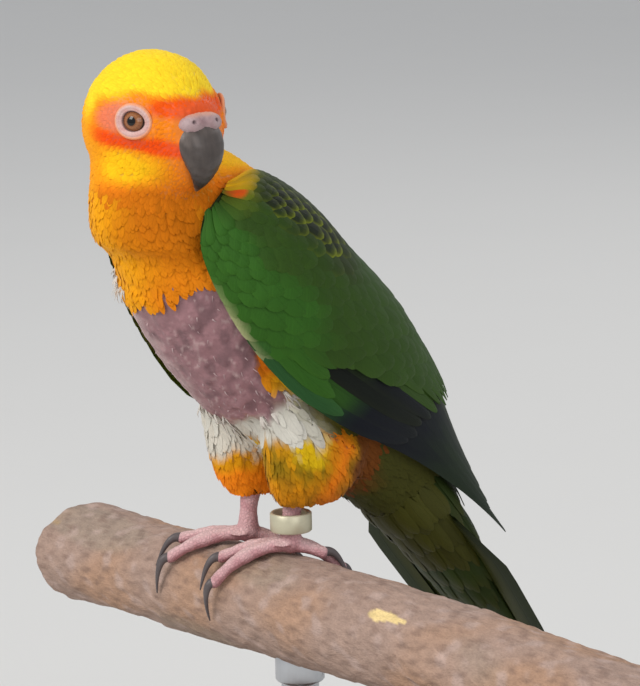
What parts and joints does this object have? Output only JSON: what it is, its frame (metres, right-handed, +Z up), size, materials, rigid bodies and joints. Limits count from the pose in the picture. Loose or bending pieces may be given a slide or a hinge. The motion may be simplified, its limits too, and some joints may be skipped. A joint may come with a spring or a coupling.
{
  "type": "sun conure on a perch",
  "caption": "Life-size still sun conure gripping a cut branch on a round display stand, head turned over its left shoulder.",
  "frame": {"origin": "centre of the underside of the stand's base", "axes": "+Z up; the bird's body faces -Y, its left side is +X; the branch runs along X"},
  "size_m": [0.2185, 0.1828, 0.228],
  "materials": {
    "head_feathers": "soft feathers, bright yellow to orange",
    "throat_feathers": "soft feathers, deep orange",
    "body_feathers": "soft feathers over bare mauve-pink skin on the breast",
    "wing_feathers": "smooth flight and covert feathers, green to blue-black",
    "tail_feathers": "smooth long feathers, olive green",
    "thigh_feathers": "soft feathers, orange and yellow",
    "foot_skin": "scaly pink skin",
    "claw_horn": "dark horn",
    "bill_horn": "dark grey horn",
    "bare_skin": "bare whitish pink skin",
    "eye_gloss": "wet dark brown eye",
    "ring_metal": "satin metal band",
    "bark": "rough pinkish-brown bark with bare patches",
    "base_wood": "satin dark wood",
    "rod_steel": "brushed steel rod"
  },
  "bodies": {
    "root": {"head": "head_feathers", "cere": "bare_skin", "bill_upper": "bill_horn", "bill_lower": "bill_horn", "neck": "throat_feathers", "torso": "body_feathers", "tail": "tail_feathers", "eye_left": "eye_gloss", "lids_left": "bare_skin", "wing_left": "wing_feathers", "thigh_left": "thigh_feathers", "shank_left": "foot_skin", "foot_left": "foot_skin", "claw_left_inner_front": "claw_horn", "claw_left_outer_front": "claw_horn", "claw_left_inner_back": "claw_horn", "claw_left_outer_back": "claw_horn", "eye_right": "eye_gloss", "lids_right": "bare_skin", "wing_right": "wing_feathers", "thigh_right": "thigh_feathers", "shank_right": "foot_skin", "foot_right": "foot_skin", "claw_right_inner_front": "claw_horn", "claw_right_outer_front": "claw_horn", "claw_right_inner_back": "claw_horn", "claw_right_outer_back": "claw_horn", "leg_ring": "ring_metal", "perch": "bark", "stand_base": "base_wood", "stand_rod": "rod_steel"}
  },
  "joints": []
}
